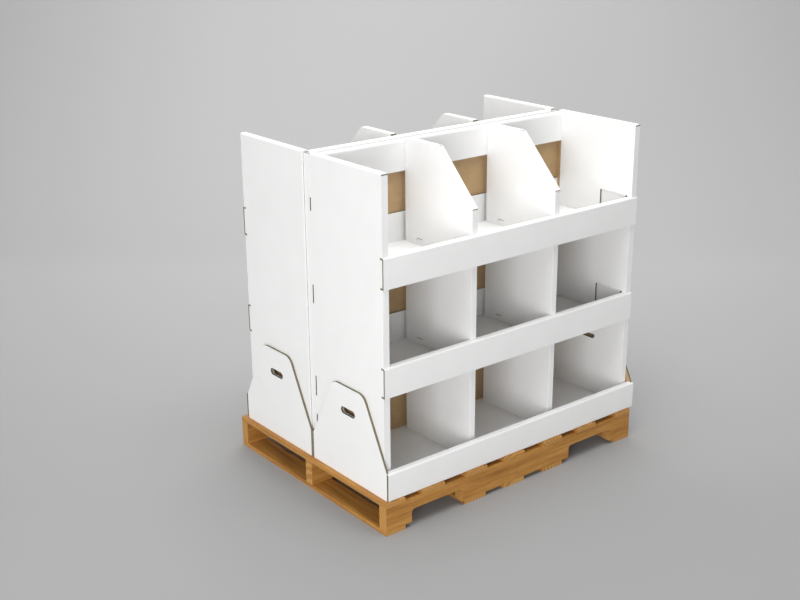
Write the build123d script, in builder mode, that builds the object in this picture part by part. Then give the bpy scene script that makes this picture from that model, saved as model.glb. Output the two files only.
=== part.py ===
"""Pallet display stand: two folded-board units stand back to back on a wooden pallet.

Millimetres, +Z up. The origin is on the floor, at the middle of the stand's outer box.
Each unit is drawn as the front one, which opens towards -Y, with the plane where the two
units meet at y = 0. The rear unit is the same unit turned half a turn about Z.
"""
import os
from math import radians, tan

from build123d import *

# Pallet
pallet_length = 1219.2
pallet_width = 914.4
stringer_width = 38.1
stringer_height = 88.9
deck_board = 15.9
lead_board_width = 84.0
board_width = 102.0
deck_gap_shares = (0.138, 0.181, 0.153, 0.172, 0.153)
bottom_gap_shares = (0.058, 0.378, 0.421)
notch_width = 228.6
notch_height = 50.0
notch_from_end = 111.6
notch_radius = 15.0
nail_length = 50.0
nail_radius = 1.6
nail_head_radius = 3.6
nail_head = 1.5
nail_stagger = 8.0

# Where the display stands on the pallet
end_overhang = 22.0
end_margin = 16.2
front_margin = 7.2
rear_margin = 19.2

# Base tray, of heavy board
tray_board = 8.0
lip_thickness = 27.0
lip_height = 103.0
end_height = 347.0
end_slope = 62.6
end_corner_radius = 45.0
hand_slot_length = 80.0
hand_slot_height = 26.0
hand_slot_rise = 255.0
fold_radius = 5.0
pad_thickness = 3.0

# Walls, of lighter board folded over at the top
board = 6.0
wall_thickness = 26.0
display_height = 1125.3
wall_clearance = 2.5
wall_setback = 33.0
wall_rear_y = -23.5
return_drop = 7.0
fit = 0.5
back_thickness = 24.0
back_outer_y = -16.0
back_drop = 4.0
flap_length = 112.5
back_corner_drop = 2.0
lock_tab_shares = (0.111, 0.216, 0.526, 0.821)
lock_tab_lengths = (45.0, 75.0, 67.0, 46.0)
lock_tab_reach = 5.0
lock_tab_thickness = 3.0
lock_slot_reach = 15.5

# Shelves
middle_shelf_share = 0.3255
top_shelf_share = 0.6614
shelf_lip_height = 106.8
shelf_lip_thickness = 28.0
shelf_upstand = 108.0
cut_out_length = 134.0
cut_out_height = 110.5
side_flap_step = 13.0
hook_reach = 11.0

# Dividers
divider_thickness = 24.0
divider_setback = 46.0
divider_slope_run = 183.0
divider_slope_drop = 186.0
slit = 2.0
latch_y = -103.0
latch_length = 32.0
latch_height = 25.0

# Worked out from the sizes above
pallet_height = stringer_height + 2 * deck_board
total_length = pallet_length + end_overhang
pallet_x = -end_overhang / 2
unit_length = pallet_length + end_overhang - end_margin
unit_depth = (pallet_width - front_margin - rear_margin) / 2
display_x = (total_length - unit_length) / 2
display_y = unit_depth + front_margin - pallet_width / 2
half_length = unit_length / 2
tray_floor = pallet_height + tray_board
pad_top = tray_floor + pad_thickness
lip_top = pallet_height + lip_height
wall_outer_x = half_length - tray_board - wall_clearance
wall_inner_x = wall_outer_x - wall_thickness
wall_front_y = -unit_depth + wall_setback
wall_top = pallet_height + display_height
inside_x = wall_inner_x - fit
back_inner_y = back_outer_y - board
back_top = wall_top - back_drop
flap_y = back_outer_y - back_thickness
flap_foot = back_top - flap_length
inside_rear_y = flap_y - fit
shelf_front_y = wall_front_y - board
shelf_lip_inner_y = shelf_front_y + shelf_lip_thickness
cut_out_rear_y = shelf_lip_inner_y + cut_out_length
shelf_unders = {
    "middle": pallet_height + middle_shelf_share * display_height,
    "top": pallet_height + top_shelf_share * display_height,
}
lock_tab_feet = [pallet_height + share * display_height for share in lock_tab_shares]
lock_tabs = list(zip(lock_tab_feet, lock_tab_lengths))
divider_spacing = (2 * inside_x + divider_thickness) / 3
divider_front_y = -unit_depth + divider_setback
divider_slope_y = divider_front_y + divider_slope_run
hand_slot_y = -unit_depth / 2
hand_slot_z = pallet_height + hand_slot_rise


def slab(x, y, z, mode=Mode.ADD):
    """A flat piece of board between a low and a high limit on each axis."""
    middle = [(low + high) / 2 for low, high in (x, y, z)]
    with Locations(tuple(middle)):
        Box(abs(x[1] - x[0]), abs(y[1] - y[0]), abs(z[1] - z[0]), mode=mode)


def folded(near, far, top, near_foot, far_foot, thickness):
    """Section of a board that runs up at near, lies flat across the top and hangs down at far."""
    inward = thickness if far > near else -thickness
    with BuildLine() as outline:
        Polyline(
            (near, near_foot),
            (near, top),
            (far, top),
            (far, far_foot),
            (far - inward, far_foot),
            (far - inward, top - thickness),
            (near + inward, top - thickness),
            (near + inward, near_foot),
            close=True,
        )
    section = make_face(outline.edges())
    fillet(section.vertices().group_by(Axis.Y)[-1], fold_radius)


def rolled(near, far, top, near_foot, far_foot, thickness):
    """Section of a board that runs up at near, rolls over at the top and hangs down at far."""
    inward = thickness if far > near else -thickness
    radius = abs(far - near) / 2
    middle = (near + far) / 2
    shoulder = top - radius
    with BuildLine() as outline:
        Line((near, near_foot), (near, shoulder))
        ThreePointArc((near, shoulder), (middle, top), (far, shoulder))
        Polyline((far, shoulder), (far, far_foot), (far - inward, far_foot), (far - inward, shoulder))
        ThreePointArc((far - inward, shoulder), (middle, top - thickness), (near + inward, shoulder))
        Polyline((near + inward, shoulder), (near + inward, near_foot), (near, near_foot))
    make_face(outline.edges())


def hand_slot(x):
    """Cuts the rounded carrying slot through everything between the two x limits."""
    with BuildSketch(Plane.YZ.offset(min(x))) as slot:
        with Locations((hand_slot_y, hand_slot_z)):
            SlotOverall(hand_slot_length, hand_slot_height)
    extrude(slot.sketch, amount=abs(x[1] - x[0]), mode=Mode.SUBTRACT)


def base_tray():
    """One folded sheet: floor, hollow front lip, low rear wall and two tall sloping end panels."""
    end_x = half_length - tray_board
    lip_board_y = -unit_depth + tray_board
    slope_run = (end_height - lip_height) / tan(radians(end_slope))
    end_top = pallet_height + end_height
    with BuildPart() as tray:
        slab((-half_length, half_length), (-unit_depth, 0), (pallet_height, tray_floor))
        with BuildSketch(Plane.YZ.offset(-half_length)):
            folded(-unit_depth, -unit_depth + lip_thickness, lip_top, pallet_height, tray_floor, tray_board)
        extrude(amount=unit_length)
        slab((-half_length, half_length), (-tray_board, 0), (pallet_height, lip_top))
        for x in ((-half_length, -end_x), (end_x, half_length)):
            slab(x, (lip_board_y, -unit_depth + lip_thickness), (tray_floor, lip_top), Mode.SUBTRACT)
            with BuildSketch(Plane.YZ.offset(x[0])):
                with BuildLine():
                    Polyline(
                        (lip_board_y, pallet_height),
                        (lip_board_y, lip_top),
                        (lip_board_y + slope_run, end_top),
                        (-tray_board - slope_run, end_top),
                        (-tray_board, lip_top),
                        (-tray_board, pallet_height),
                        close=True,
                    )
                panel = make_face()
                fillet(panel.vertices().group_by(Axis.Y)[-1], end_corner_radius)
            extrude(amount=tray_board)
            hand_slot(x)
        folds = tray.edges().filter_by(Axis.X).group_by(Axis.Z)[0]
        fillet(folds, fold_radius)
    return tray


def floor_pad():
    """Loose white sheet on the tray's floor."""
    with BuildPart() as pad:
        slab(
            (-inside_x, inside_x),
            (-unit_depth + lip_thickness + fit, back_inner_y - fit),
            (tray_floor, pad_top),
        )
    return pad


def side_wall(side):
    """Hollow double wall. side is -1 on the left and +1 on the right."""
    outer, inner = side * wall_outer_x, side * wall_inner_x
    outer_board_x = outer - side * board
    with BuildPart() as wall:
        with BuildSketch(Plane.XZ.offset(-wall_rear_y)):
            folded(outer, inner, wall_top, tray_floor, tray_floor, board)
        extrude(amount=wall_rear_y - wall_front_y)
        # The front edge is closed by a return flange that stops short of the folded top.
        slab((outer, inner), (wall_front_y, wall_front_y + board), (tray_floor, wall_top - return_drop))
        # Below the back wall's flap the inner panel stops level with the flap's face.
        slab((inner, inner + side * board), (flap_y, wall_rear_y), (tray_floor, flap_foot), Mode.SUBTRACT)
        for under in shelf_unders.values():
            # Cut-out that takes the shelf's side flap into the hollow.
            slab(
                (inner, inner + side * board),
                (shelf_lip_inner_y, cut_out_rear_y),
                (under, under + cut_out_height),
                Mode.SUBTRACT,
            )
            for low in hook_feet(under):
                slab(
                    (outer, outer - side * (2 * board + fit)),
                    (wall_front_y, wall_front_y + hook_reach + fit),
                    (low, low + board + fit),
                    Mode.SUBTRACT,
                )
        hand_slot((outer, inner))
        if side < 0:
            for foot, length in lock_tabs:
                slab(
                    (outer_board_x, outer_board_x + side * lock_tab_thickness),
                    (wall_rear_y, wall_rear_y + lock_tab_reach),
                    (foot, foot + length),
                )
    return wall


def hook_feet(under):
    """Heights at which a shelf's lower and upper hooks start."""
    return (under, under + shelf_lip_height - board)


def back_wall():
    """One sheet: back panel, its top rolled over into a flap, and flanges at each side."""
    corner_top = back_top - back_corner_drop
    with BuildPart() as back:
        with BuildSketch(Plane.YZ.offset(-inside_x)):
            rolled(back_outer_y, flap_y, back_top, tray_floor, flap_foot, board)
        extrude(amount=2 * inside_x)
        for side in (-1, 1):
            # The outer flange folds back, one board in from the side wall's outer face.
            outer = side * (wall_outer_x - board)
            flange = (outer - side * board, outer)
            slab((side * inside_x, outer), (back_inner_y, back_outer_y), (tray_floor, corner_top))
            slab(flange, (back_inner_y, -tray_board - fit), (tray_floor, lip_top + fit))
            slab(flange, (back_inner_y, 0), (lip_top + fit, corner_top))
            # The inner flange folds forward below the flap and meets the side wall's inner panel.
            inner_flange = (side * wall_inner_x, side * (wall_inner_x + board))
            slab(inner_flange, (flap_y + fit, back_inner_y), (tray_floor, flap_foot - fit))
        for foot, length in lock_tabs:
            slab(
                (-wall_outer_x + board, -wall_outer_x + 2 * board + fit),
                (back_inner_y, wall_rear_y + lock_slot_reach),
                (foot - fit, foot + length + fit),
                Mode.SUBTRACT,
            )
    return back


def shelf(under):
    """One sheet: floor, hollow front lip with hooked ends, low rear wall and two side flaps."""
    floor_top = under + board
    shelf_lip_top = under + shelf_lip_height
    rear_y = back_inner_y - fit
    upstand = (floor_top, floor_top + shelf_upstand)
    with BuildPart() as tray:
        slab((-inside_x, inside_x), (shelf_front_y, rear_y), (under, floor_top))
        with BuildSketch(Plane.YZ.offset(-wall_outer_x)):
            folded(shelf_front_y, shelf_lip_inner_y, shelf_lip_top, under, floor_top, board)
        extrude(amount=2 * wall_outer_x)
        slab((-inside_x, inside_x), (rear_y - board, rear_y), upstand)
        for side in (-1, 1):
            beyond = (side * inside_x, side * wall_outer_x)
            slab(beyond, (wall_front_y, shelf_lip_inner_y), (under, shelf_lip_top), Mode.SUBTRACT)
            # The floor runs on through the side wall's cut-out to a flap that stands in the hollow.
            flap_x = wall_inner_x + board + fit
            floor_y = (shelf_lip_inner_y + fit, cut_out_rear_y - fit)
            slab((side * inside_x, side * (flap_x + board)), floor_y, (under, floor_top))
            slab(
                (side * flap_x, side * (flap_x + board)),
                (shelf_lip_inner_y + side_flap_step, cut_out_rear_y - fit),
                (floor_top, under + cut_out_height - fit),
            )
            hook = (side * (wall_outer_x - 2 * board), side * wall_outer_x)
            for low in hook_feet(under):
                slab(hook, (wall_front_y, wall_front_y + hook_reach), (low, low + board))
    return tray


def divider(x, foot, top, own_lip_top, sloped):
    """Hollow upright of one folded sheet, with its front closed and its rear and foot open.

    own_lip_top is the top of the lip that it stands behind, or None where the lip is clear of it.
    """
    left, right = x - divider_thickness / 2, x + divider_thickness / 2
    hollow = (left + board, right - board)
    drop = divider_slope_drop if sloped else 0
    front_foot = foot if own_lip_top is None else own_lip_top + fit
    outline = [(inside_rear_y, foot), (inside_rear_y, top)]
    if sloped:
        outline.append((divider_slope_y, top))
    outline += [(divider_front_y, top - drop), (divider_front_y, front_foot)]
    if own_lip_top is not None:
        behind_lip = shelf_lip_inner_y + fit
        outline += [(behind_lip, front_foot), (behind_lip, foot)]
    with BuildPart() as upright:
        with BuildSketch(Plane.YZ.offset(left)):
            with BuildLine():
                Polyline(*outline, close=True)
            make_face()
        extrude(amount=divider_thickness)
        with BuildSketch(Plane.YZ.offset(hollow[0])):
            with BuildLine():
                Polyline(*outline, close=True)
            make_face()
            offset(amount=-board, kind=Kind.INTERSECTION)
        extrude(amount=hollow[1] - hollow[0], mode=Mode.SUBTRACT)
        slab(hollow, (shelf_lip_inner_y + 2 * board, inside_rear_y), (foot, foot + board), Mode.SUBTRACT)
        slab(hollow, (inside_rear_y - board, inside_rear_y), (foot, top - board), Mode.SUBTRACT)
        if sloped:
            # A slit parts the flat top from the sloping cover, and another the cover from the front.
            for y, z in ((divider_slope_y, top), (divider_front_y, top - drop)):
                slab(hollow, (y - slit, y + slit), (z - 2 * board, z), Mode.SUBTRACT)
        else:
            slab(hollow, (divider_front_y + board, inside_rear_y), (top - board, top), Mode.SUBTRACT)
        if own_lip_top is not None:
            # Latch cut near the foot: a short upright slit and a longer one level with its top.
            latch_top = foot + latch_height
            level = (latch_y - latch_length, latch_y)
            slab((left, hollow[0]), level, (latch_top - slit, latch_top), Mode.SUBTRACT)
            rear = (latch_y - slit, latch_y)
            slab((left, hollow[0]), rear, (foot + latch_height / 2, latch_top), Mode.SUBTRACT)
    return upright


def unit_pieces():
    """Every piece of one unit, by name."""
    pieces = {
        "tray": base_tray(),
        "floor_pad": floor_pad(),
        "side_left": side_wall(-1),
        "side_right": side_wall(1),
        "back_wall": back_wall(),
    }
    for name, under in shelf_unders.items():
        pieces[f"shelf_{name}"] = shelf(under)
    feet = {"low": pad_top}
    lips = {"low": None}
    for name, under in shelf_unders.items():
        feet[name] = under + board
        lips[name] = under + shelf_lip_height
    tops = {
        "low": shelf_unders["middle"],
        "middle": shelf_unders["top"],
        "top": wall_top,
    }
    for tier in feet:
        for side, x in (("left", -divider_spacing / 2), ("right", divider_spacing / 2)):
            pieces[f"divider_{tier}_{side}"] = divider(x, feet[tier], tops[tier], lips[tier], tier == "top")
    return pieces


def spread(reach, gap_shares):
    """Middles of boards laid from -reach on, each after its share of the length left free."""
    free = 2 * reach - len(gap_shares) * board_width
    middles = []
    edge = -reach
    for share in gap_shares:
        edge += share * free
        middles.append(edge + board_width / 2)
        edge += board_width
    return middles


# Stringer centres across the pallet, and board centres along it. The bottom boards lie
# between the fork notches.
edge_stringer_y = (pallet_width - stringer_width) / 2
stringers_y = {"front": -edge_stringer_y, "middle": 0.0, "rear": edge_stringer_y}
lead_x = (pallet_length - lead_board_width) / 2
deck_boards_x = spread(pallet_length / 2 - lead_board_width, deck_gap_shares)
bottom_boards_x = spread(pallet_length / 2 - notch_from_end - notch_width, bottom_gap_shares)
first, last = (-lead_x, lead_board_width), (lead_x, lead_board_width)
deck_boards = [first] + [(x, board_width) for x in deck_boards_x] + [last]
foot_boards = [first] + [(x, board_width) for x in bottom_boards_x] + [last]


def nail_points(boards):
    """Two nails at each crossing of a board and a stringer, one each side of both middles."""
    points = []
    for x, width in boards:
        for y in stringers_y.values():
            points += [(x - width / 4, y - nail_stagger), (x + width / 4, y + nail_stagger)]
    return points


def nail_shapes(points, face, inward, mode=Mode.ADD):
    """Nails driven in from the plane z = face, along inward (+1 up or -1 down)."""
    middle = face + inward * nail_head / 2
    with Locations(*[(pallet_x + x, y, middle) for x, y in points]):
        Cylinder(nail_head_radius, nail_head, mode=mode)
    middle = face + inward * (nail_head + nail_length) / 2
    with Locations(*[(pallet_x + x, y, middle) for x, y in points]):
        Cylinder(nail_radius, nail_length - nail_head, mode=mode)


def stringer(y):
    """Notched beam on edge, with a fork notch near each end and holes filled by its nails."""
    foot = deck_board
    notch_x = pallet_length / 2 - notch_from_end - notch_width / 2
    with BuildPart() as beam:
        slab(
            (pallet_x - pallet_length / 2, pallet_x + pallet_length / 2),
            (y - stringer_width / 2, y + stringer_width / 2),
            (foot, foot + stringer_height),
        )
        with BuildSketch(Plane.XZ.offset(-(y + stringer_width / 2))):
            middle_z = foot + notch_height / 2
            with Locations((pallet_x - notch_x, middle_z), (pallet_x + notch_x, middle_z)):
                notches = Rectangle(notch_width, notch_height)
            fillet(notches.vertices().group_by(Axis.Y)[-1], notch_radius)
        extrude(amount=stringer_width, mode=Mode.SUBTRACT)
        for boards, face, inward in ((deck_boards, pallet_height, -1), (foot_boards, 0, 1)):
            here = [point for point in nail_points(boards) if abs(point[1] - y) < stringer_width / 2]
            nail_shapes(here, face, inward, Mode.SUBTRACT)
    return beam


def cross_board(x, width, foot, face, inward):
    """Board across the stringers, with a hole for each nail."""
    with BuildPart() as plank:
        slab(
            (pallet_x + x - width / 2, pallet_x + x + width / 2),
            (-pallet_width / 2, pallet_width / 2),
            (foot, foot + deck_board),
        )
        nail_shapes(nail_points([(x, width)]), face, inward, Mode.SUBTRACT)
    return plank


def nails():
    """All the pallet's nails, heads flush with the faces of the boards."""
    with BuildPart() as group:
        nail_shapes(nail_points(deck_boards), pallet_height, -1)
        nail_shapes(nail_points(foot_boards), 0, 1)
    return group


def pallet_pieces():
    """Every piece of the pallet, by name."""
    pieces = {"nails": nails()}
    for name, y in stringers_y.items():
        pieces[f"stringer_{name}"] = stringer(y)
    for number, (x, width) in enumerate(deck_boards, 1):
        pieces[f"top_board_{number}"] = cross_board(x, width, pallet_height - deck_board, pallet_height, -1)
    for number, (x, width) in enumerate(foot_boards, 1):
        pieces[f"bottom_board_{number}"] = cross_board(x, width, 0, 0, 1)
    return pieces


os.makedirs("parts", exist_ok=True)

for node, piece in pallet_pieces().items():
    piece.part.label = node
    export_step(piece.part, f"parts/{node}.step")

for node, piece in unit_pieces().items():
    for unit, turn in (("front", 0), ("rear", 180)):
        with BuildPart() as placed:
            with Locations(Location((display_x, display_y, 0), (0, 0, turn))):
                add(piece.part)
        placed.part.label = f"{unit}_{node}"
        export_step(placed.part, f"parts/{unit}_{node}.step")
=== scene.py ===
# %% [markdown]
# A cardboard display stand on a wooden pallet, dressed for a studio picture.
# The solids come in already built, at their real size. This notebook gives them what a
# solid has no room for: the two faces of lined board, the flutes that show on every cut
# edge, sawn timber, a floor, some soft light and a camera. The solids' own meshes stay as
# they are, so every size stays right.

# %% Load the frame
import math

import bmesh
import bpy
from mathutils import Matrix, Vector


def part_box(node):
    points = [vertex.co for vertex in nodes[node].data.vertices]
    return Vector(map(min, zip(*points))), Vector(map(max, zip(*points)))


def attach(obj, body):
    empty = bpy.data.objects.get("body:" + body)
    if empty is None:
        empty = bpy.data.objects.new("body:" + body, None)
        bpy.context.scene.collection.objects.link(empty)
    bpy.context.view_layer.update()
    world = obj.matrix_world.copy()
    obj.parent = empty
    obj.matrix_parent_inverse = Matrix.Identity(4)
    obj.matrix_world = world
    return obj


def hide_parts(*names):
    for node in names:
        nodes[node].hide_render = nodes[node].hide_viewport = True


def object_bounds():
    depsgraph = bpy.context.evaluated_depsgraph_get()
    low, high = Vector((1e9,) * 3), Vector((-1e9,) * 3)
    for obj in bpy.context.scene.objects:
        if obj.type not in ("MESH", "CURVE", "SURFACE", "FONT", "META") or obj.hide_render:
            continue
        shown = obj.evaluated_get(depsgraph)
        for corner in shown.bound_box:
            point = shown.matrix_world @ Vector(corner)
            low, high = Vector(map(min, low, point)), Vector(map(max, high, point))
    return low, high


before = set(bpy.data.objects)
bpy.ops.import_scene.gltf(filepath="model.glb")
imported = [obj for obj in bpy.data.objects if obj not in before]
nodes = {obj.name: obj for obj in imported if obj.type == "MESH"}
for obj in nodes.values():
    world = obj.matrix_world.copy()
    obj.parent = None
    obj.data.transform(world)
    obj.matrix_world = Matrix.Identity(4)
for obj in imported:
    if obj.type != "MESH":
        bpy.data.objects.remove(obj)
cad_low, cad_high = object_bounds()
print("pieces in the frame:", len(nodes))
print("height of the stand:", round(cad_high.z - cad_low.z, 4), "m")

# %% [markdown]
# The stand is two equal units back to back, so one set of rules can serve both. Each rule
# is written for the front unit, in millimetres, with the plane where the units meet at
# y = 0 and the middle of the tray at x = 0. A point of the rear unit is turned half round
# before a rule sees it. Writing each rule twice would work too, but the two would soon
# stop agreeing.

# %% The two units' own coordinates
MM = 0.001
tray_low, tray_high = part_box("front_tray")
meeting = Vector(((tray_low.x + tray_high.x) / 2, tray_high.y, 0.0))


def unit_turn(name):
    """-1 for a piece of the rear unit and +1 for one of the front."""
    return -1 if name.startswith("rear_") else 1


def in_unit(point, turn):
    """A point of the frame in its unit's own millimetres."""
    p = (point - meeting) / MM
    return Vector((turn * p.x, turn * p.y, p.z))


def unit_box(name):
    """Lowest and highest corners of a front piece, in the unit's millimetres."""
    low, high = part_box("front_" + name)
    return in_unit(low, 1), in_unit(high, 1)


tray_min, tray_max = unit_box("tray")
print("one tray is", [round(v, 1) for v in (tray_max - tray_min)], "mm")

# %% [markdown]
# Corrugated board has a bleached white liner on its good side and a plain brown one on
# the other, and a cut edge shows the flutes between them. The faces could be picked by
# hand in edit mode, but the picks would be lost whenever a sheet is built again. Which of
# the three a face shows depends only on where it is and which way it looks, so each kind
# of sheet gets a short rule. A rule is given the middle of a face, p, and its normal, n.
# One part of a normal says how squarely the face looks along that axis: STRAIGHT at it,
# MAINLY that way, or only SLANTED towards it.

# %% The words that the rules use
WHITE, KRAFT, CUT = 0, 1, 2
BOARD = 6.0
TRAY_BOARD = 8.0
SLACK = 0.4
STRAIGHT, MAINLY, SLANTED = 0.9, 0.5, 0.3


def near(a, b):
    """True where two sizes agree to within the slack of a meshed round."""
    return abs(a - b) < SLACK


print("board:", BOARD, "mm, and", TRAY_BOARD, "mm for the trays")

# %% [markdown]
# The tray is the simplest sheet. Its two end panels stand inside the front and rear
# boards, so the ends of those boards show as narrow cut strips at the corners. The side
# walls stand on its floor, which is how the floor's height is known here.

# %% The base tray
TRAY_INSIDE = tray_max.x - TRAY_BOARD
TRAY_FRONT = tray_min.y + TRAY_BOARD
TRAY_FLOOR = unit_box("side_right")[0].z


def tray_face(p, n):
    """White outside and over the hollow lip, brown inside, cut along every free edge."""
    x = abs(p.x)
    if x > TRAY_INSIDE + SLACK:
        end_strip = p.y < TRAY_FRONT or p.y > -TRAY_BOARD
        if abs(n.x) > MAINLY:
            return CUT if end_strip else WHITE
        if n.z < -STRAIGHT:
            return WHITE
        return WHITE if end_strip and abs(n.y) > STRAIGHT else CUT
    if near(x, TRAY_INSIDE) and abs(n.x) > MAINLY:
        return KRAFT
    if p.y > -TRAY_BOARD - SLACK and n.z > STRAIGHT and p.z > TRAY_FLOOR + SLACK:
        return CUT
    if n.z > STRAIGHT and near(p.z, TRAY_FLOOR):
        return KRAFT
    if near(p.y, -TRAY_BOARD) and n.y < -STRAIGHT:
        return KRAFT
    return WHITE


print("tray floor at", round(TRAY_FLOOR, 1), "mm, end panels from x =", round(TRAY_INSIDE, 1), "mm")

# %% [markdown]
# A side wall is a box of one sheet, open at the rear and at the foot. At the front a
# return flange closes it, and between the flange and the fold of the top the cut end of
# the top board shows as a thin dark line. The notches and tabs are cut too, but the long
# rear edges show white.

# %% The side walls
wall_min, wall_max = unit_box("side_right")
WALL_INNER, WALL_OUTER = wall_min.x, wall_max.x
WALL_FRONT, WALL_REAR = wall_min.y, wall_max.y
WALL_TOP = wall_max.z
RETURN_TOP = WALL_TOP - 7.0
TOP_FOLD = WALL_TOP - 3.5
ROOF_ZONE = WALL_TOP - 9.0
LONG_EDGE_ZONE = TRAY_FLOOR + 300.0


def wall_face(p, n):
    """White on both outer panels, brown in the hollow, cut at the notches, tabs and ends."""
    x = abs(p.x)
    hollow = WALL_INNER + BOARD - SLACK < x < WALL_OUTER - BOARD + SLACK
    if abs(n.x) > MAINLY:
        return KRAFT if hollow else WHITE
    if n.y < -STRAIGHT and near(p.y, WALL_FRONT):
        return CUT if RETURN_TOP < p.z < TOP_FOLD else WHITE
    if n.z > SLANTED and p.z > WALL_TOP - BOARD + SLACK:
        return WHITE
    roof = n.z < -MAINLY and p.z > ROOF_ZONE
    if hollow and (roof or near(p.y, WALL_FRONT + BOARD)):
        return KRAFT
    if n.y > STRAIGHT and near(p.y, WALL_REAR) and p.z > LONG_EDGE_ZONE:
        return WHITE
    return CUT


print("a side wall is", round(WALL_OUTER - WALL_INNER, 1), "mm thick")

# %% [markdown]
# The back wall shows its good side to the other unit and its brown side to the bays. Its
# top is rolled over into a flap, which brings the good side round to the front again. At
# each end a narrow flange folds forward, and the shade in the corner beside it is painted
# as a narrow strip of the dark cut-edge finish.

# %% The back wall
back_min, back_max = unit_box("back_wall")
BACK_THICKNESS = 24.0
BACK_PANEL = back_min.y + BACK_THICKNESS - BOARD
BACK_ROLL = back_max.z - 13.0
FREE_EDGES = -TRAY_BOARD - 1.0
# width in mm of the painted corner shade: a strip of dark cut-edge finish beside each end wall
PAINTED_CORNER_SHADE = 3.0


def back_face(p, n):
    """White towards the other unit and on the flap, brown on the sides that face the bays."""
    x = abs(p.x)
    if abs(n.x) > MAINLY:
        if x < WALL_INNER - SLACK:
            return CUT
        return KRAFT if near(x, WALL_INNER) else WHITE
    if n.y < -MAINLY:
        if near(p.y, BACK_PANEL):
            # painted shade: a narrow dark strip where the brown face meets each end wall
            return CUT if WALL_INNER - PAINTED_CORNER_SHADE < x < WALL_INNER else KRAFT
        return CUT if x > WALL_INNER - SLACK else WHITE
    if n.y > MAINLY:
        if p.y > FREE_EDGES:
            return CUT
        return KRAFT if p.y < BACK_PANEL - SLACK and p.z < BACK_ROLL else WHITE
    rolled_top = n.z > SLANTED and p.z > BACK_ROLL and x < WALL_INNER - SLACK
    return WHITE if rolled_top else CUT


print("back panel's brown face at y =", round(BACK_PANEL, 1), "mm")

# %% [markdown]
# The shelves are white on both sides, so only their free edges are cut: the top of the
# upstand, the flaps in the walls and the two ends of the lip. Both shelves are the same
# sheet, so a rule asks for the height above the shelf's own underside.

# %% The shelves
SHELF_FEET = [unit_box("shelf_middle")[0].z, unit_box("shelf_top")[0].z]
FIT = 0.5
HOOK_ZONE = WALL_FRONT + 12.0
HOOK_FOOT, HOOK_HEAD = 1.0, 100.0
REAR_ZONE = -60.0


def shelf_rise(p):
    """Height of a point above the underside of its own shelf."""
    return p.z - (SHELF_FEET[0] if p.z < SHELF_FEET[1] - SLACK else SHELF_FEET[1])


def shelf_face(p, n):
    """White on both faces, cut along the upstand, the flaps and the hooked ends."""
    x = abs(p.x)
    rise = shelf_rise(p)
    if x > WALL_INNER + SLACK and p.y < HOOK_ZONE:
        over_hook = n.z > STRAIGHT and rise > HOOK_HEAD
        under_hook = n.z < -STRAIGHT and rise < HOOK_FOOT
        return WHITE if n.y < -MAINLY or over_hook or under_hook else CUT
    if abs(n.x) > MAINLY:
        return CUT if near(x, WALL_INNER - FIT) else WHITE
    if x > WALL_INNER + SLACK:
        return WHITE if abs(n.z) > STRAIGHT and rise < BOARD + SLACK else CUT
    if n.z > STRAIGHT and rise > BOARD + SLACK and p.y > REAR_ZONE:
        return CUT
    return WHITE


print("shelves stand at", [round(foot, 1) for foot in SHELF_FEET], "mm")

# %% [markdown]
# A divider is a flat tube: white outside and brown in the hollow. The slope of the top
# ones is a cover of its own, so its two cut ends show as short dark lines. The floor pad
# is a loose sheet that needs hardly any rule at all.

# %% The dividers and the floor pad
divider_min, divider_max = unit_box("divider_top_right")
DIVIDER_CENTRE = (divider_min.x + divider_max.x) / 2
DIVIDER_HALF = (divider_max.x - divider_min.x) / 2
DIVIDER_FRONT = divider_min.y + BOARD + 1.0
SLOPE_FOOT = divider_max.z - 186.0
SLOPE_HEAD = divider_min.y + 183.0
COVER_EDGE = 3.5


def divider_face(p, n):
    """White outside, brown in the hollow, cut at the rear, at the slits and at the latch."""
    offset = abs(abs(p.x) - DIVIDER_CENTRE)
    if abs(n.x) > MAINLY:
        return WHITE if near(offset, DIVIDER_HALF) else KRAFT
    if n.y > STRAIGHT and p.y > REAR_ZONE:
        return CUT
    if n.y < -STRAIGHT and p.y < DIVIDER_FRONT:
        return CUT if SLOPE_FOOT - COVER_EDGE < p.z < SLOPE_FOOT else WHITE
    if n.z > STRAIGHT and near(p.z, divider_max.z):
        return CUT if p.y < SLOPE_HEAD + COVER_EDGE else WHITE
    if abs(n.z) > STRAIGHT and near(offset, DIVIDER_HALF - BOARD / 2):
        return CUT
    return WHITE


def pad_face(p, n):
    """A loose sheet, white on both faces."""
    return WHITE if abs(n.z) > MAINLY else CUT


print("a divider is", round(2 * DIVIDER_HALF, 1), "mm thick")

# %% [markdown]
# A rule judges a whole face, and some faces show two things at once: the outside of an
# end panel runs on into the cut end of the front board. A knife tool could split them by
# hand. Here a sheet is scored along a few planes instead, which splits such faces exactly
# where the board changes.

# %% Where to score, and which rule to use
SCORES = {
    # the back wall is scored where its painted corner shade begins
    "back_wall": [("x", PAINTED_CORNER_SHADE - WALL_INNER), ("x", WALL_INNER - PAINTED_CORNER_SHADE)],
    "tray": [("y", TRAY_FRONT), ("y", -TRAY_BOARD)],
    "side": [("z", RETURN_TOP), ("z", TOP_FOLD)],
    "divider_top": [
        ("z", SLOPE_FOOT),
        ("z", SLOPE_FOOT - COVER_EDGE),
        ("y", SLOPE_HEAD + COVER_EDGE),
    ],
}
RULES = {
    "tray": tray_face,
    "floor_pad": pad_face,
    "side": wall_face,
    "back_wall": back_face,
    "shelf": shelf_face,
    "divider": divider_face,
}


def entry_for(name, table, default=None):
    """What a table holds for a sheet, found by how its name within the unit starts."""
    own = name.split("_", 1)[1]
    return next((entry for key, entry in table.items() if own.startswith(key)), default)


print("kinds of sheet:", ", ".join(RULES))

# %% [markdown]
# A material is a small network of nodes. It could be joined up by hand in the shader
# editor. In a script each node would take a line to add, one for each of its values and
# one for each link, so a helper does all that in one call: what is given for a socket is
# linked if it is another node's output, and written on the socket if it is a value.

# %% A helper that adds a node


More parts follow.
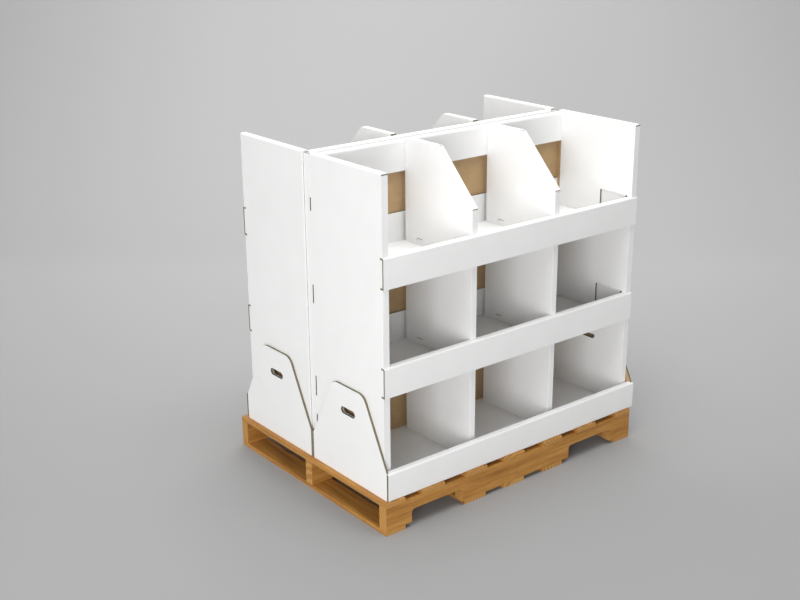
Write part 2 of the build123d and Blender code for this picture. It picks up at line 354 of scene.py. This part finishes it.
def node(tree, kind, **inputs):
    """Adds a shader node. A keyword is a property, a socket's name or i and its number."""
    made = tree.nodes.new("ShaderNode" + kind)
    for key, value in inputs.items():
        if hasattr(made, key):
            setattr(made, key, value)
            continue
        numbered = key[0] == "i" and key[1:].isdigit()
        socket = made.inputs[int(key[1:]) if numbered else key.replace("_", " ")]
        if isinstance(value, bpy.types.NodeSocket):
            tree.links.new(value, socket)
        else:
            socket.default_value = value
    return made


print("ready to add nodes")

# %% [markdown]
# A new material comes with a shader, which gets its plain values straight away. Patterns
# read Object coordinates. The sheets and boards have never been moved, so those are metres
# in the frame, and a pattern lines up from one piece to the next. A ramp turns a pattern,
# which runs from 0 to 1, into colours.

# %% Helpers that start a material


def new_material(name, colour, roughness):
    """A material, its node tree, its shader and a socket with Object coordinates."""
    material = bpy.data.materials.new(name)
    material.use_nodes = True
    tree = material.node_tree
    shader = tree.nodes["Principled BSDF"]
    shader.inputs["Base Color"].default_value = (*colour, 1)
    shader.inputs["Roughness"].default_value = roughness
    where = tree.nodes.new("ShaderNodeTexCoord").outputs["Object"]
    return material, tree, shader, where


def ramp(tree, factor, stops):
    """A colour ramp between (position, colour) stops."""
    made = node(tree, "ValToRGB", Fac=factor)
    elements = made.color_ramp.elements
    while len(elements) < len(stops):
        elements.new(0.5)
    for element, (position, colour) in zip(elements, stops):
        element.position = position
        element.color = (*colour, 1)
    return made.outputs["Color"]


print("ready to start materials")

# %% [markdown]
# Three more helpers name what the networks below do again and again. One colour is laid
# over another by multiplying them, as ink darkens paper. A bump tells the light about
# small heights, which stand here in metres. And the last step of each network joins the
# colour and the bump to the shader.

# %% Helpers that mix and join


def laid_over(tree, share, lower, upper):
    """One colour multiplied by another, by a share from 0 to 1."""
    sockets = {"i0": share, "i6": lower, "i7": upper}
    mixed = node(tree, "Mix", data_type="RGBA", blend_type="MULTIPLY", **sockets)
    return mixed.outputs[2]


def bump(tree, height, strength, distance, **more):
    """The normal of a surface that rises by a distance in metres where height is 1."""
    made = node(tree, "Bump", Height=height, Strength=strength, Distance=distance, **more)
    return made.outputs["Normal"]


def join(tree, shader, colour, normal=None):
    """Joins a colour, and a normal if there is one, to the shader."""
    tree.links.new(colour, shader.inputs["Base Color"])
    if normal is not None:
        tree.links.new(normal, shader.inputs["Normal"])


print("ready to mix colours, raise bumps and join them to a shader")

# %% [markdown]
# The white liner is bleached paper with a thin coat of clay: nearly smooth, a little
# uneven where the fibres clump, and with the flutes behind it just showing as broad
# upright ribs when light grazes it. The ribs are a height and not a colour. They could be
# modelled, but at a fifth of a millimetre that would cost a great many faces, so they come
# from a bump whose strength is small. Their pattern is turned by 45 degrees, so that it
# crosses the faces along x and the faces along y alike.

# %% White liner


def white_liner():
    """Coated white paper with faint fibre clouds and the show-through of upright flutes."""
    material, tree, shader, where = new_material("white_liner", (0.88, 0.88, 0.875), 0.55)
    clouds = node(tree, "TexNoise", Vector=where, Scale=9.0, Detail=4.0, Roughness=0.6)
    shades = [(0.3, (0.87, 0.87, 0.865)), (0.7, (0.895, 0.895, 0.89))]
    tint = ramp(tree, clouds.outputs["Fac"], shades)
    fibres = node(tree, "TexNoise", Vector=where, Scale=900.0, Detail=2.0)
    turned = node(tree, "Mapping", Vector=where, Rotation=(0, 0, math.radians(45)))
    ribs = node(tree, "TexWave", Vector=turned.outputs["Vector"], bands_direction="X", Scale=28.0)
    ribbed = bump(tree, ribs.outputs["Fac"], 0.05, 0.0002)
    grained = bump(tree, fibres.outputs["Fac"], 0.08, 0.0002, Normal=ribbed)
    join(tree, shader, tint, grained)
    return material


WHITE_LINER = white_liner()
print("white liner:", len(WHITE_LINER.node_tree.nodes), "nodes")

# %% [markdown]
# The brown liner is unbleached kraft. Its fibres are long enough to see, so a fine noise
# is stretched along the board and laid over broad clouds of lighter and darker pulp. One
# noise alone would look like stone, because paper has both sizes of pattern at once.

# %% Brown kraft liner


def kraft_liner():
    """Unbleached brown paper with clouds, long fibres and dark flecks."""
    material, tree, shader, where = new_material("kraft_liner", (0.36, 0.23, 0.12), 0.8)
    clouds = node(tree, "TexNoise", Vector=where, Scale=14.0, Detail=5.0, Roughness=0.65)
    pulp = [(0.3, (0.47, 0.31, 0.155)), (0.7, (0.56, 0.375, 0.195))]
    base = ramp(tree, clouds.outputs["Fac"], pulp)
    long_way = node(tree, "Mapping", Vector=where, Scale=(900, 900, 160))
    fibres = node(tree, "TexNoise", Vector=long_way.outputs["Vector"], Scale=1.0, Detail=3.0)
    flecks = [(0.35, (0.78, 0.78, 0.78)), (0.65, (1.0, 1.0, 1.0))]
    light = ramp(tree, fibres.outputs["Fac"], flecks)
    rough = bump(tree, fibres.outputs["Fac"], 0.15, 0.0003)
    join(tree, shader, laid_over(tree, 0.6, base, light), rough)
    return material


KRAFT_LINER = kraft_liner()
print("kraft liner:", len(KRAFT_LINER.node_tree.nodes), "nodes")

# %% [markdown]
# A cut edge shows three flat liners with two layers of flutes between them. Object
# coordinates can't draw that, because the pattern has to follow the edge round corners and
# up slopes. So it reads a UV map that holds real distances: u runs along the edge in
# metres and v across the board from 0 to 1. A flute is a sine wave, and paper is where v
# is close to the wave.

# %% Cut edge with flutes
FLUTE_PITCH = 0.0072


def cut_edge():
    """Raw edge of double-wall board: liners, two rows of flutes, and shade in the gaps."""
    material, tree, shader, _ = new_material("cut_edge", (0.15, 0.13, 0.075), 0.9)
    edge = node(tree, "UVMap", uv_map="edge").outputs["UV"]
    parts = node(tree, "SeparateXYZ", Vector=edge)
    along, across = parts.outputs["X"], parts.outputs["Y"]
    angle = node(tree, "Math", operation="MULTIPLY", i0=along, i1=2 * math.pi / FLUTE_PITCH)
    wave = node(tree, "Math", operation="SINE", i0=angle.outputs[0])
    rows = node(tree, "Math", operation="PINGPONG", i0=across, i1=0.5)
    swing = node(tree, "Math", operation="MULTIPLY_ADD", i0=wave.outputs[0], i1=0.16, i2=0.25)
    apart = node(tree, "Math", operation="SUBTRACT", i0=rows.outputs[0], i1=swing.outputs[0])
    gap = node(tree, "Math", operation="ABSOLUTE", i0=apart.outputs[0])
    liner = node(tree, "Math", operation="PINGPONG", i0=rows.outputs[0], i1=0.25)
    paper = node(tree, "Math", operation="MINIMUM", i0=gap.outputs[0], i1=liner.outputs[0])
    depths = [(0.05, (0.21, 0.185, 0.115)), (0.13, (0.075, 0.066, 0.036))]
    shade = ramp(tree, paper.outputs[0], depths)
    join(tree, shader, shade, bump(tree, paper.outputs[0], 0.5, 0.001, invert=True))
    return material


BOARD_FINISHES = (WHITE_LINER, KRAFT_LINER, cut_edge())
print("board finishes:", [finish.name for finish in BOARD_FINISHES])

# %% [markdown]
# A solid's mesh is loose triangles, which take no bevel and no rule for whole faces. The
# node's own mesh has to stay, so a copy is merged and its flat faces are joined again. The
# finished copy becomes an object with a narrow bevel, because neither folded board nor
# sawn wood has knife-sharp edges, and a soft edge catches the light.

# %% Copy a solid, and soften the copy
MERGE_DISTANCE = 0.00002
FLAT_ENOUGH = math.radians(0.5)
SHARP = math.radians(35)
BEVEL_STEPS = 2


def merged_copy(name):
    """A bmesh of a node's mesh, with its corners merged and its flat faces joined again."""
    edit = bmesh.new()
    edit.from_mesh(nodes[name].data)
    bmesh.ops.remove_doubles(edit, verts=edit.verts, dist=MERGE_DISTANCE)
    bmesh.ops.dissolve_limit(edit, angle_limit=FLAT_ENOUGH, verts=edit.verts, edges=edit.edges)
    return edit


def softened(edit, name, finishes, width):
    """Makes an object of an edited copy, with its finishes and a bevel on its sharp edges."""
    for face in edit.faces:
        face.smooth = True
    mesh = bpy.data.meshes.new(name)
    edit.to_mesh(mesh)
    edit.free()
    mesh.set_sharp_from_angle(angle=SHARP)
    for finish in finishes:
        mesh.materials.append(finish)
    made = bpy.data.objects.new(name, mesh)
    bpy.context.scene.collection.objects.link(made)
    bevel = made.modifiers.new("soft edges", "BEVEL")
    bevel.width = width
    bevel.segments = BEVEL_STEPS
    bevel.angle_limit = SHARP
    bevel.harden_normals = True
    return made


print("edges sharper than", round(math.degrees(SHARP)), "degrees will be softened")

# %% [markdown]
# Two jobs are left before a sheet can be dressed: scoring it along its planes, and laying
# out its cut faces for the flutes. An unwrap would lay them out too, but not at their real
# size, and the flutes would come out wider on one edge than on the next. On each cut face
# the board's thickness is the axis on which the face spans closest to it, unless the face
# looks along that axis.

# %% Score a sheet and map its cut edges
SCORE_DISTANCE = 0.00001
SQUARELY = 0.7


def score(edit, turn, planes):
    """Splits the faces of a sheet along planes given in its unit's millimetres."""
    for axis, place in planes:
        normal = Vector((float(axis == "x"), float(axis == "y"), float(axis == "z")))
        along = place * (1 if axis == "z" else turn)
        bmesh.ops.bisect_plane(
            edit,
            geom=edit.verts[:] + edit.edges[:] + edit.faces[:],
            dist=SCORE_DISTANCE,
            plane_co=meeting + normal * along * MM,
            plane_no=normal,
        )


def edge_map(face, layer, thickness):
    """Lays real distances on a cut face: along the edge, and across the board's thickness."""
    points = [loop.vert.co for loop in face.loops]
    spans = [max(p[i] for p in points) - min(p[i] for p in points) for i in range(3)]
    facing = [abs(part) > SQUARELY for part in face.normal]
    axis = min(range(3), key=lambda i: abs(spans[i] - thickness) + facing[i])
    across = Vector([float(i == axis) for i in range(3)])
    along = face.normal.cross(across)
    start = min(p[axis] for p in points)
    for loop in face.loops:
        loop[layer].uv = (along.dot(loop.vert.co), (loop.vert.co[axis] - start) / thickness)


print("scored along planes:", {kind: len(planes) for kind, planes in SCORES.items()})

# %% [markdown]
# Each sheet is now dressed. Its copy is scored, each face gets a liner by the rule, and
# each cut face gets its UV map. The copy rides where the solid rides and replaces it in
# the picture, while the solid stays behind it for collisions.

# %% Dress the sheets
FOLD_SOFTNESS = 0.0007


def dress_sheet(name):
    """Copies a sheet's mesh, sorts its faces by liner and shows the copy in its place."""
    rule, turn = entry_for(name, RULES), unit_turn(name)
    thickness = (TRAY_BOARD if "tray" in name else BOARD) * MM
    edit = merged_copy(name)
    score(edit, turn, entry_for(name, SCORES, []))
    layer = edit.loops.layers.uv.new("edge")
    for face in edit.faces:
        middle = in_unit(face.calc_center_median(), turn)
        normal = Vector((turn * face.normal.x, turn * face.normal.y, face.normal.z))
        face.material_index = rule(middle, normal)
        if face.material_index == CUT:
            edge_map(face, layer, thickness)
    sheet = softened(edit, name + "_board", BOARD_FINISHES, FOLD_SOFTNESS)
    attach(sheet, "root")
    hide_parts(name)
    return sheet


sheets = [dress_sheet(name) for name in sorted(nodes) if name.startswith(("front_", "rear_"))]
print("sheets dressed:", len(sheets))

# %% [markdown]
# The pallet is softwood, sawn and never planed, gone orange with age. Real rings are
# cylinders round the tree's heart, but a flat-sawn board cuts them so shallowly that they
# read as long bands. A noise drawn out along the grain gives those bands, and a second,
# slow noise bends them. Two copies of the material differ only in which way the bands run,
# one for the stringers and one for the boards that lie across them. A pattern of cells,
# drawn out along the grain as well, makes the knots: dark where a cell's middle is close.

# %% Sawn timber
RING_TONES = [
    (0.28, (0.31, 0.13, 0.022)),
    (0.5, (0.47, 0.215, 0.042)),
    (0.72, (0.60, 0.31, 0.075)),
]
STREAK_TONES = [(0.4, (0.80, 0.78, 0.74)), (0.6, (1.0, 1.0, 1.0))]
KNOT_TONES = [(0.06, (0.30, 0.20, 0.13)), (0.13, (1.0, 1.0, 1.0))]


def drawn_out(tree, where, along, slow, quick):
    """Coordinates that change slowly along the grain, X or Y, and quickly across it."""
    scale = (slow, quick, quick) if along == "X" else (quick, slow, quick)
    return node(tree, "Mapping", Vector=where, Scale=scale).outputs["Vector"]


def timber(name, along):
    """Orange-brown softwood whose grain runs along X or Y."""
    material, tree, shader, where = new_material(name, (0.42, 0.22, 0.07), 0.62)
    laid = drawn_out(tree, where, along, 2.2, 34)
    bend = node(tree, "TexNoise", Vector=laid, Scale=0.35, Detail=2.0)
    bent = node(tree, "Mix", data_type="RGBA", i0=0.25, i6=laid, i7=bend.outputs["Color"])
    rings = node(tree, "TexNoise", Vector=bent.outputs[2], Scale=2.2, Detail=5.0, Roughness=0.62)
    tone = ramp(tree, rings.outputs["Fac"], RING_TONES)
    fine = node(tree, "TexNoise", Vector=laid, Scale=14.0, Detail=3.0)
    streak = ramp(tree, fine.outputs["Fac"], STREAK_TONES)
    grained = laid_over(tree, 0.7, tone, streak)
    spread = drawn_out(tree, where, along, 5.0, 13.0)
    knots = node(tree, "TexVoronoi", Vector=spread, Scale=0.55, Randomness=1.0)
    dark = ramp(tree, knots.outputs["Distance"], KNOT_TONES)
    sawn = bump(tree, fine.outputs["Fac"], 0.35, 0.0008)
    join(tree, shader, laid_over(tree, 0.85, grained, dark), sawn)
    return material


LONG_TIMBER = timber("timber_along", "X")
CROSS_TIMBER = timber("timber_across", "Y")
print("timber:", LONG_TIMBER.name, "and", CROSS_TIMBER.name)

# %% [markdown]
# Where a board is sawn across, the rings come to the surface as arcs. Here the tree's own
# geometry is worth copying, so the pattern is a set of shells round a point that lies
# outside the board. The wood is paler there, with fine pores, and it needs no knots.

# %% End grain


def end_grain():
    """Pale sawn end of a softwood board, with arcs of rings and fine pores."""
    material, tree, shader, where = new_material("end_grain", (0.62, 0.38, 0.13), 0.75)
    off_centre = node(tree, "Mapping", Vector=where, Location=(0.0, 0.03, 0.05))
    shells = {"wave_type": "RINGS", "rings_direction": "SPHERICAL", "Distortion": 2.5}
    arcs = node(tree, "TexWave", Vector=off_centre.outputs["Vector"], Scale=55.0, **shells)
    tones = [(0.2, (0.42, 0.20, 0.045)), (0.8, (0.56, 0.30, 0.085))]
    tone = ramp(tree, arcs.outputs["Fac"], tones)
    pores = node(tree, "TexNoise", Vector=where, Scale=1200.0, Detail=2.0)
    join(tree, shader, tone, bump(tree, pores.outputs["Fac"], 0.3, 0.0004))
    return material


END_GRAIN = end_grain()
print("end grain:", len(END_GRAIN.node_tree.nodes), "nodes")

# %% [markdown]
# The boards and stringers are dressed like the sheets, from a merged copy. A large face
# that looks along the grain is end grain. The arrises of sawn timber are broken by
# handling, so their bevel is wider than a fold's.

# %% Dress the timber
ARRIS = 0.0012
END_AREA = 0.0008


def dress_timber(name):
    """Copies a board or stringer, marks its end grain and breaks its arrises."""
    along = 0 if name.startswith("stringer") else 1
    edit = merged_copy(name)
    for face in edit.faces:
        end = abs(face.normal[along]) > STRAIGHT and face.calc_area() > END_AREA
        face.material_index = int(end)
    side_grain = CROSS_TIMBER if along else LONG_TIMBER
    beam = softened(edit, name + "_timber", (side_grain, END_GRAIN), ARRIS)
    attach(beam, "root")
    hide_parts(name)
    return beam


TIMBER_NAMES = ("stringer", "top_", "bottom_")
beams = [dress_timber(name) for name in sorted(nodes) if name.startswith(TIMBER_NAMES)]
print("boards and stringers dressed:", len(beams))

# %% [markdown]
# Nail heads are the only metal. They sit flush with the boards, and their shape is right
# as it is, so the node stays and only its finish changes: a dull steel with a faint
# unevenness.

# %% Nail steel


def nail_steel():
    """Dull wire-nail steel."""
    material, tree, shader, where = new_material("nail_steel", (0.42, 0.41, 0.40), 0.45)
    shader.inputs["Metallic"].default_value = 1.0
    patches = node(tree, "TexNoise", Vector=where, Scale=400.0, Detail=2.0)
    tones = [(0.35, (0.30, 0.28, 0.26)), (0.65, (0.50, 0.49, 0.48))]
    join(tree, shader, ramp(tree, patches.outputs["Fac"], tones))
    return material


nail_slots = nodes["nails"].data.materials
nail_slots.clear()
nail_slots.append(nail_steel())
print("nails finished in", nail_slots[0].name)

# %% [markdown]
# The studio's floor and backdrop are one matt grey. Lamps alone could even out its light,
# but they would light the object too, so painted light stands in for them: the grey is
# painted darker near the camera and paler towards the back, where a lit backdrop is
# brighter. The floor sheet is never moved, so Object coordinates serve here as well.

# %% Studio grey, with painted light towards the back
VIEW_ALONG = Vector((0.6229, 0.7823, 0.0))
# the two ends of the painted light: darker grey near the camera, paler on the backdrop
FLOOR_GREY = (0.33, 0.33, 0.33)
BACKDROP_GREY = (0.46, 0.46, 0.46)


def sweep_grey_with_painted_light():
    """Plain matt grey that grows paler along the line of sight."""
    material, tree, shader, where = new_material("studio_grey_painted_light", (0.38, 0.38, 0.38), 0.9)
    # painted light: the grey grows paler away from the camera, standing in for light on the backdrop
    away = node(tree, "VectorMath", operation="DOT_PRODUCT", i0=where, i1=VIEW_ALONG)
    share = node(tree, "MapRange", Value=away.outputs["Value"], From_Min=-0.5, From_Max=2.2)
    greys = [(0.0, FLOOR_GREY), (1.0, BACKDROP_GREY)]
    join(tree, shader, ramp(tree, share.outputs["Result"], greys))
    return material


print("grey from", FLOOR_GREY[0], "on the floor to", BACKDROP_GREY[0], "on the backdrop")

# %% [markdown]
# Each bmesh operator hands back what it made, and the next one can go on from there. The
# helper below extrudes an edge, moves what is new and returns the new edge, so a sheet can
# be drawn out step by step as one would draw a line.

# %% Extrude an edge


def extruded(edit, edge, move):
    """Extrudes an edge, moves the new edge and returns it."""
    grown = bmesh.ops.extrude_edge_only(edit, edges=[edge])["geom"]
    ends = [part for part in grown if isinstance(part, bmesh.types.BMVert)]
    bmesh.ops.translate(edit, vec=move, verts=ends)
    return edit.edges.get(ends)


print("ready to extrude edges")

# %% [markdown]
# The floor runs up into the backdrop with no horizon. Two planes would show a line where
# they meet, so one curved sheet does both. It starts as a single edge across the view. The
# edge is extruded along the floor, spun through a quarter round, and extruded again up the
# wall. An open sheet has no outside, so once its faces agree they are turned to look up.

# %% Floor and backdrop
VIEW_ACROSS = Vector((0.7823, -0.6229, 0.0))
UPRIGHT = Vector((0.0, 0.0, 1.0))
SWEEP_REACH = 18.0
SWEEP_FLOOR = 2.6
SWEEP_RADIUS = 2.8
SWEEP_TOP = 7.0
SWEEP_STEPS = 24


def studio_sweep():
    """A floor that turns up into a wall behind the object, square to the line of sight."""
    edit = bmesh.new()
    near_side = VIEW_ALONG * -SWEEP_REACH
    ends = [edit.verts.new(near_side + VIEW_ACROSS * reach) for reach in (-SWEEP_REACH, SWEEP_REACH)]
    floor_end = extruded(edit, edit.edges.new(ends), VIEW_ALONG * (SWEEP_FLOOR + SWEEP_REACH))
    round_end = bmesh.ops.spin(
        edit,
        geom=[*floor_end.verts, floor_end],
        cent=VIEW_ALONG * SWEEP_FLOOR + UPRIGHT * SWEEP_RADIUS,
        axis=VIEW_ACROSS,
        angle=math.radians(90),
        steps=SWEEP_STEPS,
    )["geom_last"]
    wall_foot = next(part for part in round_end if isinstance(part, bmesh.types.BMEdge))
    extruded(edit, wall_foot, UPRIGHT * (SWEEP_TOP - SWEEP_RADIUS))
    for face in edit.faces:
        face.smooth = True
    bmesh.ops.recalc_face_normals(edit, faces=edit.faces)
    if any(face.normal.z < -STRAIGHT for face in edit.faces):
        bmesh.ops.reverse_faces(edit, faces=edit.faces)
    mesh = bpy.data.meshes.new("floor")
    edit.to_mesh(mesh)
    edit.free()
    mesh.materials.append(sweep_grey_with_painted_light())
    floor = bpy.data.objects.new("floor", mesh)
    bpy.context.scene.collection.objects.link(floor)
    return floor


sweep = studio_sweep()
print("faces in the floor and backdrop:", len(sweep.data.polygons))

# %% [markdown]
# Large lamps shape the object: one on the left makes the left faces the brightest, a low
# one beside the camera reaches into the bays, one overhead lights the tops, and one behind
# evens out the backdrop. Small lamps or a sun would do the same, but with hard shadows
# that a studio picture doesn't have.

# %% Lamps


def soft_lamp(name, place, aim, size, power):
    """A square area lamp at a place, aimed at a point."""
    lamp = bpy.data.lights.new(name, "AREA")
    lamp.size = size
    lamp.energy = power
    made = bpy.data.objects.new(name, lamp)
    made.location = place
    made.rotation_euler = (Vector(aim) - Vector(place)).to_track_quat("-Z", "Y").to_euler()
    bpy.context.scene.collection.objects.link(made)
    return made


middle = (cad_low + cad_high) / 2
behind = VIEW_ALONG * 3.4
lamps = [
    soft_lamp("left", place=(-5.0, -0.6, 2.6), aim=middle, size=3.5, power=54),
    soft_lamp("low", place=(-4.6, -4.0, 0.9), aim=middle, size=3.0, power=245),
    soft_lamp("top", place=(-0.3, -0.8, 5.5), aim=middle, size=4.0, power=226),
    soft_lamp("backdrop", place=behind + UPRIGHT * 4.4, aim=behind, size=4.5, power=130),
]
print("lamps, in watts:", {lamp.name: lamp.data.energy for lamp in lamps})

# %% [markdown]
# The lamps alone would leave the undersides and the bays too dark, because no room
# reflects light back at them. A plain grey world does the work of the room's walls, from
# every side at once.

# %% Light from all round
WORLD_GREY = (0.5, 0.5, 0.5, 1)
WORLD_STRENGTH = 0.55

world = bpy.data.worlds.new("studio")
bpy.context.scene.world = world
world.use_nodes = True
sky = world.node_tree.nodes["Background"]
sky.inputs["Color"].default_value = WORLD_GREY
sky.inputs["Strength"].default_value = WORLD_STRENGTH
print("world:", WORLD_GREY[0], "grey at strength", WORLD_STRENGTH)

# %% [markdown]
# A camera can be placed by eye, but then lines that should meet the picture's drift off at
# the far side. This one was worked out from the picture: with a pallet of this size, its
# corners and the display's corners fall where the picture has them only from this place,
# with this lens and a lean of under half a degree.

# %% Camera
CAMERA_PLACE = Vector((-2.8277, -3.3123, 2.1251))
CAMERA_AIM = Vector((-0.1225, 0.0855, 0.5907))
CAMERA_LEAN = -0.0073
CAMERA_LENS = 54.61

camera_data = bpy.data.cameras.new("camera")
camera_data.lens = CAMERA_LENS
camera = bpy.data.objects.new("camera", camera_data)
bpy.context.scene.collection.objects.link(camera)
forward = (CAMERA_AIM - CAMERA_PLACE).normalized()
level = forward.cross(UPRIGHT).normalized()
upward = level.cross(forward)
right = math.cos(CAMERA_LEAN) * level + math.sin(CAMERA_LEAN) * upward
up = math.cos(CAMERA_LEAN) * upward - math.sin(CAMERA_LEAN) * level
turned = Matrix((right, up, -forward)).transposed().to_4x4()
camera.matrix_world = Matrix.Translation(CAMERA_PLACE) @ turned
bpy.context.scene.camera = camera
bpy.context.scene.view_settings.view_transform = "Standard"
print("camera to aim:", round((CAMERA_AIM - CAMERA_PLACE).length, 2), "m")
